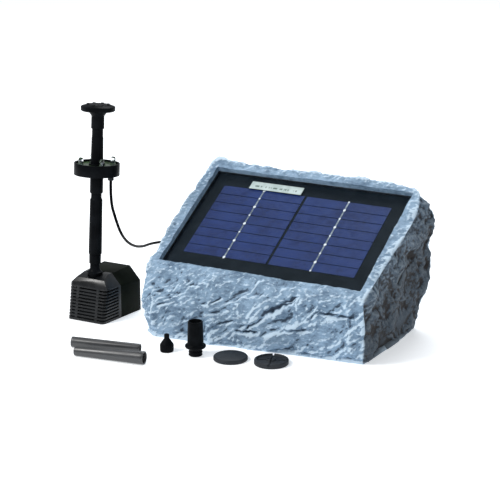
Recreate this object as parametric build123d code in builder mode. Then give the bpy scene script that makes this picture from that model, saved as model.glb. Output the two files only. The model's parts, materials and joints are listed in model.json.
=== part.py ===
from build123d import *
import os
from math import atan2, cos, pi, radians, sin, tan

# Solar fountain pump kit: a resin rock that carries a solar panel, a small submersible pump
# with a riser and an LED ring, and the loose nozzles and tubes in front. Millimetres, +Z up,
# the rock faces -Y, the origin is on the ground under the middle of the panel's recess.

# ---------------------------------------------------------------- driving dimensions
# Rock: outlines of the outer skin at six heights, anticlockwise from the front right corner.
rock_levels = {
    0: [(121, -68), (50, -76), (-25, -85), (-100, -93), (-116, -80), (-120, -10),
        (-117, 45), (-106, 60), (-45, 61), (45, 61), (119, 57), (123, 0)][::-1],
    35: [(124, -71), (52, -80), (-25, -88), (-103, -94), (-124, -80), (-127, -10),
         (-123, 50), (-109, 66), (-45, 68), (45, 67), (128, 66), (125, 0)][::-1],
    62: [(121, -70), (50, -71), (-25, -72), (-108, -73), (-123, -68), (-128, -8),
         (-126, 54), (-113, 70), (-45, 72), (45, 71), (131, 71), (124, 3)][::-1],
    100: [(121, -69), (50, -70), (-25, -70), (-112, -71), (-123, -66), (-127, -5),
          (-127, 58), (-118, 76), (-45, 76), (45, 75), (131, 74), (127, 5)][::-1],
    118: [(121, -69), (50, -70), (-25, -70), (-112, -70), (-122, -66), (-126, -3),
          (-126, 59), (-118, 75), (-45, 75), (45, 74), (134, 72), (126, 3)][::-1],
    152: [(120, -69), (50, -69), (-25, -69), (-112, -69), (-121, -66), (-123, 0),
          (-123, 60), (-118, 70), (-45, 70), (45, 69), (110, 68), (122, 0)][::-1],
}
rim_tilt = 30.0
rim_height = 105.0
cavity_scale = (0.94, 0.91)
cavity_back = 50.0
base_thickness = 3.0
boss_places = [(108, -56), (105, 45), (-101, 44), (-103, -73)]
boss_radius = 9.0

# Panel: depths are measured from the rim plane down into the rock.
recess_width, recess_length = 224.0, 139.0
seal_gap = 1.0
glass_top, glass_bottom = 5.6, 6.85
cell_top, cell_bottom = 7.0, 7.3
recess_depth = 8.8
ledge_thickness = 4.2
window_width, window_length = 200.0, 115.0
cell_columns, cell_rows = 2, 8
grid_width, grid_length = 190.6, 99.4
grid_centre = (-1.0, 1.7)
column_gap, row_gap = 3.0, 0.9
ribbon_width = 1.6
label_size, label_centre = (60.0, 10.5), (-37.0, 55.8)

# Rear control panel.
plate_width, plate_height, plate_middle = 128.0, 62.0, 37.0
plate_front, plate_thickness = 60.0, 3.0
box_width, box_height, box_depth, box_wall = 112.0, 50.0, 33.0, 1.8
socket_height, led_socket_x, pump_socket_x = 22.0, -26.0, -46.0
socket_bore, socket_bore_depth = 2.75, 9.0
button_x, button_height = -36.0, 49.0
door_left, door_right, door_bottom, door_top = -4.0, 54.0, 17.0, 53.0
hinge_y, hinge_z, hinge_pin_radius = 62.2, 55.0, 1.0
cell_radius, cell_length = 7.2, 49.0

# Pump.
pump_x, pump_width, pump_height = -184.5, 56.5, 46.5
pump_front, pump_split, pump_back = -87.0, -58.0, -25.0
pump_chamfer, pump_shoulder = 12.5, 32.5
pump_wall, cover_thickness, gasket_thickness = 2.0, 2.2, 0.8
pump_taper, roof_taper = 0.106, 0.045
slot_count, slot_pitch, slot_height, slot_first = 10, 3.3, 1.5, 3.4
rotor_z, rotor_radius, well_radius, shaft_radius = 21.0, 9.6, 10.5, 1.25
running_gap = 0.05

# Riser: lengths are measured along its axis, which leans back a little.
riser_lean = 4.5
riser_foot = (-185.0, -67.0, 45.5)
bore_radius = 3.6
ring_radius, ring_bottom, ring_top = 23.2, 103.6, 115.8
led_circle, led_radius, led_start = 17.0, 2.5, -40.0
ring_travel = 26.0

# Cord: a lead from the ring, a coil, and a short tail to the plug in the rock's back.
cord_radius = 1.5
coil_centre, coil_middle, coil_width, coil_height = (-50.0, 128.0), 18.0, 15.0, 13.0

os.makedirs("parts", exist_ok=True)
pieces = {}


# ---------------------------------------------------------------- planes and shared shapes
def upright(x, y):
    """A vertical plane whose sketch axes are X and Z; extruding from it goes towards -Y."""
    return Plane(origin=(x, y, 0), x_dir=(1, 0, 0), z_dir=(0, -1, 0))


def in_rim(depth):
    """The rim plane, moved down into the rock by a depth."""
    return Plane(
        origin=(0, 0, rim_height),
        x_dir=(1, 0, 0),
        z_dir=(0, -sin(radians(rim_tilt)), cos(radians(rim_tilt))),
    ).offset(-depth)


def turned(profile, side):
    """A revolved piece from (radius, height) points, about the side plane's own Y axis."""
    with BuildPart() as piece:
        with BuildSketch(side):
            with BuildLine():
                Polyline(*profile, close=True)
            make_face()
        revolve(axis=Axis(side.origin, side.y_dir))
    return piece


lean = radians(riser_lean)
riser_side = Plane(origin=riser_foot, x_dir=(1, 0, 0), z_dir=(0, -cos(lean), sin(lean)))
riser_base = Plane(origin=riser_foot, x_dir=(1, 0, 0), z_dir=(0, sin(lean), cos(lean)))
riser_axis = Axis(riser_base.origin, riser_base.z_dir)


# ---------------------------------------------------------------- rock
def inner(points):
    """An outline of the cavity, inside an outline of the skin."""
    return [(x * cavity_scale[0], min(y * cavity_scale[1], cavity_back)) for x, y in points]


with BuildPart() as cavity:
    for height, points in rock_levels.items():
        with BuildSketch(Plane.XY.offset(height)):
            with BuildLine():
                Polyline(*inner(points), close=True)
            make_face()
    loft(ruled=True)
    split(bisect_by=in_rim(recess_depth + ledge_thickness), keep=Keep.BOTTOM)

with BuildPart() as rock_shell:
    for height, points in rock_levels.items():
        with BuildSketch(Plane.XY.offset(height)):
            with BuildLine():
                Polyline(*points, close=True)
            make_face()
    loft(ruled=True)
    split(bisect_by=in_rim(0), keep=Keep.BOTTOM)
    add(cavity.part, mode=Mode.SUBTRACT)
    with BuildSketch(in_rim(recess_depth)):
        Rectangle(recess_width, recess_length)
    extrude(amount=recess_depth + 10, mode=Mode.SUBTRACT)
    with BuildSketch(in_rim(recess_depth + ledge_thickness + 1)):
        Rectangle(window_width, window_length)
    extrude(amount=ledge_thickness + 2, mode=Mode.SUBTRACT)
    with BuildSketch(Plane.XY.offset(base_thickness)):
        with Locations(*boss_places):
            Circle(boss_radius)
    extrude(amount=16)
    with BuildSketch(Plane.XY.offset(base_thickness)):
        with Locations(*boss_places):
            Circle(1.75)
    extrude(amount=13, mode=Mode.SUBTRACT)
    with BuildSketch(upright(0, 90)):
        with Locations((0, plate_middle)):
            Rectangle(plate_width + 1, plate_height + 1)
    extrude(amount=90 - plate_front + plate_thickness, mode=Mode.SUBTRACT)
    with BuildSketch(upright(0, plate_front)):
        with Locations((0, plate_middle)):
            Rectangle(box_width + 0.6, box_height + 0.6)
    extrude(amount=16, mode=Mode.SUBTRACT)
    with BuildSketch(upright(0, plate_front)):
        with Locations((0, plate_middle)):
            with GridLocations(plate_width - 8, plate_height - 8, 2, 2):
                Circle(1.25)
    extrude(amount=11, mode=Mode.SUBTRACT)
pieces["rock_shell"] = rock_shell

with BuildPart() as base_plate:
    with BuildSketch():
        with BuildLine():
            Polyline(*[(x * 0.992, y * 0.992) for x, y in inner(rock_levels[0])], close=True)
        make_face()
    extrude(amount=base_thickness)
    with Locations(*[(x, y, 0) for x, y in boss_places]):
        with Locations(Location((0, 0, 0), (180, 0, 0))):
            CounterBoreHole(radius=1.9, counter_bore_radius=3.9, counter_bore_depth=1.8)
pieces["base_plate"] = base_plate

with BuildPart() as base_screws:
    with BuildSketch(Plane.XY.offset(0.3)):
        with Locations(*boss_places):
            Circle(3.4)
    extrude(amount=1.5)
    with BuildSketch(Plane.XY.offset(1.8)):
        with Locations(*boss_places):
            Circle(1.75)
    extrude(amount=13)
    with BuildSketch(Plane.XY.offset(0.3)):
        with Locations(*boss_places):
            Rectangle(4, 0.9)
            Rectangle(0.9, 4)
    extrude(amount=0.8, mode=Mode.SUBTRACT)
pieces["base_screws"] = base_screws

# ---------------------------------------------------------------- solar panel
panel_width, panel_length = recess_width - 2 * seal_gap, recess_length - 2 * seal_gap

with BuildPart() as panel_glass:
    with BuildSketch(in_rim(glass_bottom)):
        Rectangle(panel_width, panel_length)
    extrude(amount=glass_bottom - glass_top)
pieces["panel_glass"] = panel_glass

with BuildPart() as panel_backsheet:
    with BuildSketch(in_rim(recess_depth)):
        Rectangle(panel_width, panel_length)
    extrude(amount=recess_depth - cell_bottom)
pieces["panel_backsheet"] = panel_backsheet

cell_width = (grid_width - column_gap) / cell_columns
cell_pitch = grid_length / cell_rows
with BuildPart() as solar_cells:
    with BuildSketch(in_rim(cell_bottom)):
        with Locations(grid_centre):
            with GridLocations(cell_width + column_gap, cell_pitch, cell_columns, cell_rows):
                Rectangle(cell_width, cell_pitch - row_gap)
    extrude(amount=cell_bottom - cell_top)
pieces["solar_cells"] = solar_cells

with BuildPart() as cell_ribbons:
    with BuildSketch(in_rim(cell_top)):
        with Locations(grid_centre):
            with GridLocations(cell_width + column_gap, 0, cell_columns, 1):
                Rectangle(ribbon_width, grid_length)
    extrude(amount=cell_top - glass_bottom)
pieces["cell_ribbons"] = cell_ribbons

with BuildPart() as panel_seal:
    with BuildSketch(in_rim(recess_depth)):
        Rectangle(recess_width, recess_length)
        Rectangle(panel_width, panel_length, mode=Mode.SUBTRACT)
    extrude(amount=recess_depth - glass_top)
pieces["panel_seal"] = panel_seal

with BuildPart() as panel_label:
    with BuildSketch(in_rim(glass_top)):
        with Locations(label_centre):
            Rectangle(*label_size)
    extrude(amount=0.15)
pieces["panel_label"] = panel_label

with BuildPart() as junction_box:
    with BuildSketch(in_rim(recess_depth)):
        with Locations((-40, 20)):
            RectangleRounded(40, 28, 3)
    extrude(amount=-11)
    fillet(junction_box.edges().group_by(Axis.Z)[0], 1.0)
pieces["junction_box"] = junction_box

# ---------------------------------------------------------------- rear control panel
battery_middle = (door_bottom + door_top) / 2
battery_z = [battery_middle - cell_radius - 0.3, battery_middle + cell_radius + 0.3]
battery_x = (door_left + door_right) / 2
battery_y = plate_front - plate_thickness - cell_radius - 3
knuckle_radius = 1.9

with BuildPart() as rear_panel:
    with BuildSketch(upright(0, plate_front)):
        with Locations((0, plate_middle)):
            RectangleRounded(plate_width, plate_height, 3)
            with GridLocations(plate_width - 8, plate_height - 8, 2, 2):
                Circle(1.7, mode=Mode.SUBTRACT)
        with Locations((battery_x, battery_middle)):
            Rectangle(cell_length + 5, 4 * cell_radius + 2, mode=Mode.SUBTRACT)
        with Locations((led_socket_x, socket_height), (pump_socket_x, socket_height)):
            Circle(5.0, mode=Mode.SUBTRACT)
        with Locations((button_x, button_height)):
            Circle(6.0, mode=Mode.SUBTRACT)
    extrude(amount=plate_thickness)
    with BuildSketch(Plane.YZ.offset(battery_x - 10.5)):
        with Locations((hinge_y, hinge_z)):
            Circle(knuckle_radius)
        with Locations((hinge_y - 1.2, hinge_z + 0.4)):
            Rectangle(2.4, 2)
        with Locations((hinge_y, hinge_z)):
            Circle(hinge_pin_radius, mode=Mode.SUBTRACT)
    extrude(amount=21)
pieces["rear_panel"] = rear_panel

with BuildPart() as rear_panel_screws:
    with BuildSketch(upright(0, plate_front + 1.5)):
        with Locations((0, plate_middle)):
            with GridLocations(plate_width - 8, plate_height - 8, 2, 2):
                Circle(2.8)
    extrude(amount=1.5)
    with BuildSketch(upright(0, plate_front)):
        with Locations((0, plate_middle)):
            with GridLocations(plate_width - 8, plate_height - 8, 2, 2):
                Circle(1.25)
    extrude(amount=11)
pieces["rear_panel_screws"] = rear_panel_screws

with BuildPart() as control_box:
    with BuildSketch(upright(0, plate_front - plate_thickness)):
        with Locations((0, plate_middle)):
            Rectangle(box_width, box_height)
    extrude(amount=box_depth)
    with BuildSketch(upright(0, plate_front - plate_thickness)):
        with Locations((0, plate_middle)):
            Rectangle(box_width - 2 * box_wall, box_height - 2 * box_wall)
    extrude(amount=box_depth - box_wall, mode=Mode.SUBTRACT)
    with BuildSketch(upright(0, plate_front - plate_thickness)):
        with Locations((door_left - 6, plate_middle)):
            Rectangle(box_wall, box_height)
    extrude(amount=box_depth)
    with BuildSketch(Plane.XY.offset(box_height)):
        with Locations((-30, 40)):
            Circle(2.0)
    extrude(amount=20, mode=Mode.SUBTRACT)
pieces["control_box"] = control_box

with BuildPart() as battery_cells:
    for z in battery_z:
        with BuildSketch(Plane(origin=(battery_x - cell_length / 2, battery_y, z), z_dir=(1, 0, 0))):
            Circle(cell_radius)
        extrude(amount=cell_length)
        with BuildSketch(Plane(origin=(battery_x + cell_length / 2, battery_y, z), z_dir=(1, 0, 0))):
            Circle(2.6)
        extrude(amount=1.2)
pieces["battery_cells"] = battery_cells

with BuildPart() as battery_contacts:
    for x, thick in ((battery_x - cell_length / 2 - 1.4, 1.4), (battery_x + cell_length / 2 + 1.2, 0.8)):
        with BuildSketch(Plane(origin=(x, battery_y, battery_middle), x_dir=(0, 1, 0), z_dir=(1, 0, 0))):
            Rectangle(10, 24)
        extrude(amount=thick)
pieces["battery_contacts"] = battery_contacts

with BuildPart() as control_board:
    with BuildSketch(upright(-32.9, 42)):
        with Locations((0, plate_middle)):
            Rectangle(42, 44)
    extrude(amount=1.6)
    with BuildSketch(upright(-32.9, 40.4)):
        with Locations((-9, 46)):
            Rectangle(9, 7)
        with Locations((8, 46), (8, 30)):
            Circle(4)
        with Locations((-10, 28)):
            Rectangle(12, 8)
    extrude(amount=5)
pieces["control_board"] = control_board

with BuildPart() as battery_door:
    with BuildSketch(upright(0, plate_front + 2.5)):
        with Locations((battery_x, battery_middle)):
            RectangleRounded(door_right - door_left, door_top - door_bottom, 2)
    extrude(amount=2.2)
    with BuildSketch(upright(0, plate_front + 3.1)):
        with Locations((battery_x, door_bottom + 5)):
            SlotOverall(16, 3)
    extrude(amount=0.6)
    for x in (door_left + 4, door_right - 14):
        with BuildSketch(Plane.YZ.offset(x)):
            with Locations((hinge_y, hinge_z)):
                Circle(knuckle_radius)
            with Locations((hinge_y - 0.45, hinge_z - 1.9)):
                Rectangle(1.5, 3.8)
            with Locations((hinge_y, hinge_z)):
                Circle(hinge_pin_radius + running_gap, mode=Mode.SUBTRACT)
        extrude(amount=10)
pieces["battery_door"] = battery_door

with BuildPart() as door_hinge_pin:
    with BuildSketch(Plane.YZ.offset(door_left + 3)):
        with Locations((hinge_y, hinge_z)):
            Circle(hinge_pin_radius)
    extrude(amount=door_right - door_left - 6)
pieces["door_hinge_pin"] = door_hinge_pin


def jack(x):
    """A panel jack: flange outside, threaded barrel, bore for a barrel plug."""
    mouth = plate_front + 7.5
    with BuildPart() as piece:
        with BuildSketch(upright(x, mouth)):
            with Locations((0, socket_height)):
                Circle(5.0)
        extrude(amount=mouth - plate_front + 15)
        with BuildSketch(upright(x, plate_front + 1.5)):
            with Locations((0, socket_height)):
                Circle(7.0)
        extrude(amount=1.5)
        with BuildSketch(upright(x, mouth)):
            with Locations((0, socket_height)):
                Circle(socket_bore)
        extrude(amount=socket_bore_depth, mode=Mode.SUBTRACT)
    return piece


pieces["led_socket"] = jack(led_socket_x)
pieces["pump_socket"] = jack(pump_socket_x)

with BuildPart() as socket_nuts:
    with BuildSketch(upright(0, plate_front - plate_thickness)):
        with Locations((led_socket_x, socket_height), (pump_socket_x, socket_height)):
            RegularPolygon(7.5, 6)
            Circle(5.0, mode=Mode.SUBTRACT)
    extrude(amount=2.5)
pieces["socket_nuts"] = socket_nuts

with BuildPart() as switch_body:
    with BuildSketch(upright(button_x, plate_front + 1.2)):
        with Locations((0, button_height)):
            Circle(8.0)
    extrude(amount=1.2)
    with BuildSketch(upright(button_x, plate_front)):
        with Locations((0, button_height)):
            Circle(6.0)
    extrude(amount=13)
    with BuildSketch(upright(button_x, plate_front + 1.2)):
        with Locations((0, button_height)):
            Circle(4.5)
    extrude(amount=7, mode=Mode.SUBTRACT)
pieces["switch_body"] = switch_body

with BuildPart() as power_button:
    with BuildSketch(upright(button_x, plate_front + 3.4)):
        with Locations((0, button_height)):
            Circle(4.2)
    extrude(amount=6.4)
    fillet(power_button.edges().group_by(Axis.Y)[-1], 0.8)
pieces["power_button"] = power_button

# ---------------------------------------------------------------- pump
housing_back = pump_back - cover_thickness - gasket_thickness


roof_half, roof_drop = pump_width / 2 - pump_chamfer, pump_height - pump_shoulder


def section(wall=0.0):
    """The pump's cross-section at its back, smaller by a wall's thickness."""
    half, roof = pump_width / 2 - wall, roof_half - wall * 0.45
    shoulder, top = pump_shoulder - wall * 0.45, pump_height - wall
    return [(-half, wall), (half, wall), (half, shoulder), (roof, top), (-roof, top), (-half, shoulder)]


def pump_block(back, front, wall=0.0):
    """The pump's outer or inner shape between two depths; it narrows forwards."""
    widths = [pump_width / 2 - (housing_back - y) * pump_taper - wall for y in (back, front)]
    with BuildPart() as block:
        with BuildSketch(Plane.XY.offset(wall)):
            with BuildLine():
                Polyline(
                    (pump_x - widths[0], back), (pump_x + widths[0], back),
                    (pump_x + widths[1], front), (pump_x - widths[1], front), close=True,
                )
            make_face()
        extrude(amount=pump_height - 2 * wall)
        for side in (-1, 1):
            slope = Plane(
                origin=(pump_x + side * roof_half, housing_back, pump_height), x_dir=(side * roof_taper, 1, 0),
                z_dir=(side * roof_drop, -roof_drop * roof_taper, pump_chamfer),
            )
            split(bisect_by=slope.offset(-wall), keep=Keep.BOTTOM)
    return block


def side_profile(wall):
    """The strainer from the side: a leaning front, a sloping band, then the roof."""
    return [
        (pump_split, wall), (pump_front + wall, wall), (pump_front + 7 + wall, 37.5 - wall / 2),
        (pump_front + 11 + wall, 43.0 - wall), (pump_front + 21, pump_height - wall),
        (pump_split, pump_height - wall),
    ]


def strainer_block(wall, corner):
    """The strainer's outer or inner shape, with rounded front corners."""
    with BuildPart() as block:
        add(pump_block(pump_split, pump_front - 5, wall).part)
        with BuildSketch(Plane.YZ.offset(pump_x - 40)):
            with BuildLine():
                Polyline(*side_profile(wall), close=True)
            make_face()
        extrude(amount=80, mode=Mode.INTERSECT)
        fronts = block.faces().sort_by(Axis.Y)[0]
        corners = [e for e in fronts.edges() if abs((e @ 1 - e @ 0).Z) > 20]
        fillet(corners, corner)
    return block


outer_block = strainer_block(0, 4.5)
inner_block = strainer_block(pump_wall, 2.5)
notch_radius = 6.4

with BuildPart() as strainer_cover:
    add(outer_block.part)
    add(inner_block.part, mode=Mode.SUBTRACT)
    with BuildSketch(Plane.XY.offset(pump_height + 1)):
        with Locations((riser_foot[0], riser_foot[1] - 0.5)):
            Circle(notch_radius)
        with Locations((riser_foot[0], (riser_foot[1] + pump_split) / 2)):
            Rectangle(2 * notch_radius, pump_split - riser_foot[1] + 1)
    extrude(amount=-12, mode=Mode.SUBTRACT)
    for row in range(slot_count):
        z = slot_first + row * slot_pitch
        with Locations((pump_x, pump_front + 4, z)):
            Box(21, 18, slot_height, mode=Mode.SUBTRACT)
        with Locations((pump_x - 22, pump_front + 9, z), (pump_x + 22, pump_front + 9, z)):
            Box(17, 32, slot_height, mode=Mode.SUBTRACT)
pieces["strainer_cover"] = strainer_cover

well_end = -35.0
with BuildPart() as pump_housing:
    add(pump_block(housing_back, pump_split).part)
    add(pump_block(housing_back, pump_split + 3, pump_wall).part, mode=Mode.SUBTRACT)
    with BuildSketch(upright(pump_x, well_end + 1.5)):
        with Locations((0, rotor_z)):
            Circle(well_radius + 1.3)
    extrude(amount=well_end + 1.5 - pump_split)
    with BuildSketch(upright(pump_x, well_end)):
        with Locations((0, rotor_z)):
            Circle(well_radius)
    extrude(amount=well_end - pump_split, mode=Mode.SUBTRACT)
pieces["pump_housing"] = pump_housing

with BuildPart() as rear_gasket:
    with BuildSketch(upright(pump_x, housing_back + gasket_thickness)):
        with BuildLine():
            Polyline(*section(), close=True)
        make_face()
        with BuildLine():
            Polyline(*section(pump_wall), close=True)
        make_face(mode=Mode.SUBTRACT)
    extrude(amount=gasket_thickness)
pieces["rear_gasket"] = rear_gasket

gland_z = 11.0
with BuildPart() as rear_cover:
    with BuildSketch(upright(pump_x, pump_back)):
        with BuildLine():
            Polyline(*section(), close=True)
        make_face()
        with Locations((0, gland_z)):
            Circle(4.0, mode=Mode.SUBTRACT)
    extrude(amount=cover_thickness)
    chamfer(rear_cover.faces().sort_by(Axis.Y)[-1].outer_wire().edges(), 0.6)
pieces["rear_cover"] = rear_cover

with BuildPart() as cable_gland:
    with BuildSketch(upright(pump_x, pump_back + 10)):
        with Locations((0, gland_z)):
            Circle(3.4)
    extrude(amount=10)
    with BuildSketch(upright(pump_x, pump_back + 2.5)):
        with Locations((0, gland_z)):
            Circle(5.5)
    extrude(amount=2.5)
    with BuildSketch(upright(pump_x, pump_back)):
        with Locations((0, gland_z)):
            Circle(4.0)
    extrude(amount=cover_thickness)
    with BuildSketch(upright(pump_x, pump_back + 10)):
        with Locations((0, gland_z)):
            Circle(2.25)
    extrude(amount=10 + cover_thickness, mode=Mode.SUBTRACT)
pieces["cable_gland"] = cable_gland

with BuildPart() as stator_core:
    with BuildSketch(upright(pump_x, -38)):
        with Locations((0, rotor_z)):
            Circle(18.0)
            Circle(15.4, mode=Mode.SUBTRACT)
            with PolarLocations(14.0, 4, start_angle=45):
                Rectangle(4.0, 4.4)
    extrude(amount=12)
pieces["stator_core"] = stator_core

with BuildPart() as stator_coils:
    with BuildSketch(upright(pump_x, -36.8)):
        with Locations((0, rotor_z)):
            with PolarLocations(13.7, 4, start_angle=45):
                Rectangle(2.0, 8.0)
    extrude(amount=14.4)
    with BuildSketch(upright(pump_x, -38)):
        with Locations((0, rotor_z)):
            with PolarLocations(14.0, 4, start_angle=45):
                Rectangle(4.4, 4.4)
    extrude(amount=12, mode=Mode.SUBTRACT)
pieces["stator_coils"] = stator_coils

volute_front = -75.0
with BuildPart() as rotor_magnet:
    with BuildSketch(upright(pump_x, well_end - 2.5)):
        with Locations((0, rotor_z)):
            Circle(rotor_radius)
            Circle(shaft_radius + running_gap, mode=Mode.SUBTRACT)
    extrude(amount=20)
pieces["rotor_magnet"] = rotor_magnet

with BuildPart() as impeller:
    with BuildSketch(upright(pump_x, well_end - 22.5)):
        with Locations((0, rotor_z)):
            Circle(4.5)
    extrude(amount=11)
    with BuildSketch(upright(pump_x, pump_split - 1.0)):
        with Locations((0, rotor_z)):
            Circle(11.2)
    extrude(amount=1.5)
    with BuildSketch(upright(pump_x, pump_split - 2.5)):
        with Locations((0, rotor_z)):
            with PolarLocations(7.0, 6):
                Rectangle(8.0, 1.2)
    extrude(amount=8)
    with BuildSketch(upright(pump_x, well_end - 22)):
        with Locations((0, rotor_z)):
            Circle(shaft_radius + running_gap)
    extrude(amount=14, mode=Mode.SUBTRACT)
pieces["impeller"] = impeller

with BuildPart() as motor_shaft:
    with BuildSketch(upright(pump_x, well_end)):
        with Locations((0, rotor_z)):
            Circle(shaft_radius)
    extrude(amount=well_end - volute_front)
pieces["motor_shaft"] = motor_shaft

with BuildPart() as rear_bush:
    with BuildSketch(upright(pump_x, well_end)):
        with Locations((0, rotor_z)):
            Circle(4.0)
            Circle(shaft_radius, mode=Mode.SUBTRACT)
    extrude(amount=2.0)
pieces["rear_bush"] = rear_bush

with BuildPart() as front_bush:
    with BuildSketch(upright(pump_x, volute_front + 3.5)):
        with Locations((0, rotor_z)):
            Circle(2.6)
            Circle(shaft_radius, mode=Mode.SUBTRACT)
    extrude(amount=3.5)
pieces["front_bush"] = front_bush

stub_radius, stub_top, stub_tip = 5.1, 11.4, 19.0
flange_radius = 8.2
with BuildPart() as volute_cover:
    with BuildSketch(upright(pump_x, pump_split)):
        with Locations((0, rotor_z)):
            Circle(15.0)
    extrude(amount=pump_split - volute_front)
    with BuildSketch(riser_base.offset(-14)):
        Circle(5.6)
    extrude(amount=16.4)
    with BuildSketch(riser_side):
        with BuildLine():
            Polyline(
                (0, 2.2), (flange_radius, 2.2), (flange_radius, 2.8), (6.6, 3.8),
                (stub_radius, 6.6), (stub_radius, stub_top), (4.8, stub_top), (4.8, stub_tip),
                (0, stub_tip), close=True,
            )
        make_face()
    revolve(axis=riser_axis)
    with BuildSketch(upright(pump_x, pump_split)):
        with Locations((0, rotor_z)):
            Circle(12.6)
    extrude(amount=pump_split - volute_front - 2, mode=Mode.SUBTRACT)
    with BuildSketch(upright(pump_x, volute_front + 3)):
        with Locations((0, rotor_z)):
            Circle(7.0)
            Rectangle(14, 1.6, mode=Mode.SUBTRACT)
            Rectangle(1.6, 14, mode=Mode.SUBTRACT)
            Circle(4.0, mode=Mode.SUBTRACT)
    extrude(amount=4, mode=Mode.SUBTRACT)
    with BuildSketch(upright(pump_x, volute_front + 3.5)):
        with Locations((0, rotor_z)):
            Circle(2.6)
    extrude(amount=4, mode=Mode.SUBTRACT)
    with BuildSketch(riser_base.offset(-16)):
        Circle(bore_radius)
    extrude(amount=40, mode=Mode.SUBTRACT)
pieces["volute_cover"] = volute_cover

# ---------------------------------------------------------------- riser
collar_top = 21.4
pieces["riser_collar"] = turned(
    [(4.8, stub_top), (5.6, stub_top), (6.0, stub_top + 0.4), (6.1, collar_top - 1), (5.9, collar_top),
     (5.0, collar_top), (5.0, 28), (bore_radius, 28), (bore_radius, stub_tip), (4.8, stub_tip)],
    riser_side,
)
lower_top, lower_tip = 78.4, 92.0
pieces["lower_tube"] = turned(
    [(5.0, collar_top), (6.5, collar_top), (6.8, collar_top + 1.2), (6.4, lower_top - 0.5),
     (5.4, lower_top + 1.5), (5.4, lower_tip), (bore_radius, lower_tip), (bore_radius, 28), (5.0, 28)],
    riser_side,
)
middle_bottom, middle_top, middle_tip = 84.6, 142.4, 160.0
ring_bore = 6.6
taper_end = 123.0
pieces["middle_tube"] = turned(
    [(5.4, middle_bottom), (6.2, middle_bottom), (6.7, middle_bottom + 1.0), (6.7, ring_bottom - 1.5),
     (6.5, ring_bottom - 0.5), (6.5, ring_top + 1), (6.3, taper_end), (6.0, middle_top - 0.6),
     (5.7, middle_top), (5.6, middle_tip), (bore_radius, middle_tip), (bore_radius, lower_tip),
     (5.4, lower_tip)],
    riser_side,
)

# ---------------------------------------------------------------- LED ring
board_depth, cup_wall = 2.2, 2.0
board_top = ring_top - board_depth
pieces["ring_cup"] = turned(
    [(ring_bore, ring_bottom), (ring_radius, ring_bottom), (ring_radius, ring_top),
     (ring_radius - cup_wall, ring_top), (ring_radius - cup_wall, ring_bottom + cup_wall),
     (ring_bore + 1.8, ring_bottom + cup_wall), (ring_bore + 1.8, ring_top - 0.8),
     (ring_bore, ring_top - 0.8)],
    riser_side,
)
with BuildPart() as ring_board:
    with BuildSketch(riser_base.offset(board_top - 1.6)):
        Circle(ring_radius - cup_wall)
        Circle(ring_bore + 1.8, mode=Mode.SUBTRACT)
    extrude(amount=1.6)
pieces["ring_board"] = ring_board

with BuildPart() as ring_leds:
    with BuildSketch(riser_base.offset(board_top)):
        with PolarLocations(led_circle, 4, start_angle=led_start):
            Circle(led_radius + 0.4)
    extrude(amount=1.0)
    with BuildSketch(riser_base.offset(board_top)):
        with PolarLocations(led_circle, 4, start_angle=led_start):
            Circle(led_radius)
    extrude(amount=8.2)
    tops = [solid.faces().sort_by(riser_axis)[-1] for solid in ring_leds.solids()]
    fillet([edge for face in tops for edge in face.edges()], led_radius - 0.2)
pieces["ring_leds"] = ring_leds

gland_bottom = 99.6
with BuildPart() as ring_gland:
    with BuildSketch(riser_base.offset(ring_bottom)):
        with Locations((led_circle, 0)):
            Circle(3.0)
    extrude(amount=gland_bottom - ring_bottom)
pieces["ring_gland"] = ring_gland

# ---------------------------------------------------------------- spray head
neck_bottom, neck_top, disc_bottom, disc_top = 150.8, 163.6, 168.4, 173.6
pieces["spray_neck"] = turned(
    [(5.75, neck_bottom), (6.7, neck_bottom), (6.6, neck_top), (7.4, neck_top + 1.2),
     (10.0, disc_bottom), (4.0, disc_bottom), (4.0, middle_tip + 1), (5.75, middle_tip + 1)],
    riser_side,
)
disc_radius = 17.4
with BuildPart() as spray_disc:
    with BuildSketch(riser_side):
        with BuildLine():
            Polyline(
                (0, disc_bottom + 0.1), (disc_radius - 1.0, disc_bottom + 0.1),
                (disc_radius, disc_bottom + 1.0), (disc_radius, disc_top - 0.6),
                (disc_radius - 0.8, disc_top), (12.0, disc_top + 1.6), (0, disc_top + 2.2),
                close=True,
            )
        make_face()
    revolve(axis=riser_axis)
    with BuildSketch(riser_base.offset(disc_bottom + 0.1)):
        Circle(3.9)
    extrude(amount=-4)
    with BuildSketch(riser_base.offset(disc_top)):
        with PolarLocations(11.0, 8, start_angle=10):
            Circle(1.5)
    extrude(amount=2.15)
pieces["spray_disc"] = spray_disc

# ---------------------------------------------------------------- loose tubes and nozzles
def lying_tube(x, y, heading, length, narrow, wide, socket):
    """A tapered tube that lies on the ground, its narrow end at (x, y), a socket in its wide end."""
    taper = atan2(wide - narrow, length)
    along = Vector(cos(heading) * cos(taper), sin(heading) * cos(taper), sin(taper))
    side = Plane(
        origin=(x, y, narrow * cos(taper)),
        x_dir=Vector(-sin(heading), cos(heading), 0),
        z_dir=Vector(-sin(heading), cos(heading), 0).cross(along),
    )
    profile = [
        (narrow - 1.0, 0), (narrow - 0.3, 0), (narrow, 0.4), (wide, length), (socket, length),
        (socket, length - 12), (narrow - 1.0, length - 12),
    ]
    return turned(profile, side)


pieces["spare_tube_front"] = lying_tube(-136.1, -177.2, radians(8.4), 73.0, 4.6, 6.4, 5.2)
pieces["spare_tube_rear"] = lying_tube(-85.4, -139.5, radians(194.7), 70.0, 4.3, 5.2, 4.35)

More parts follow.
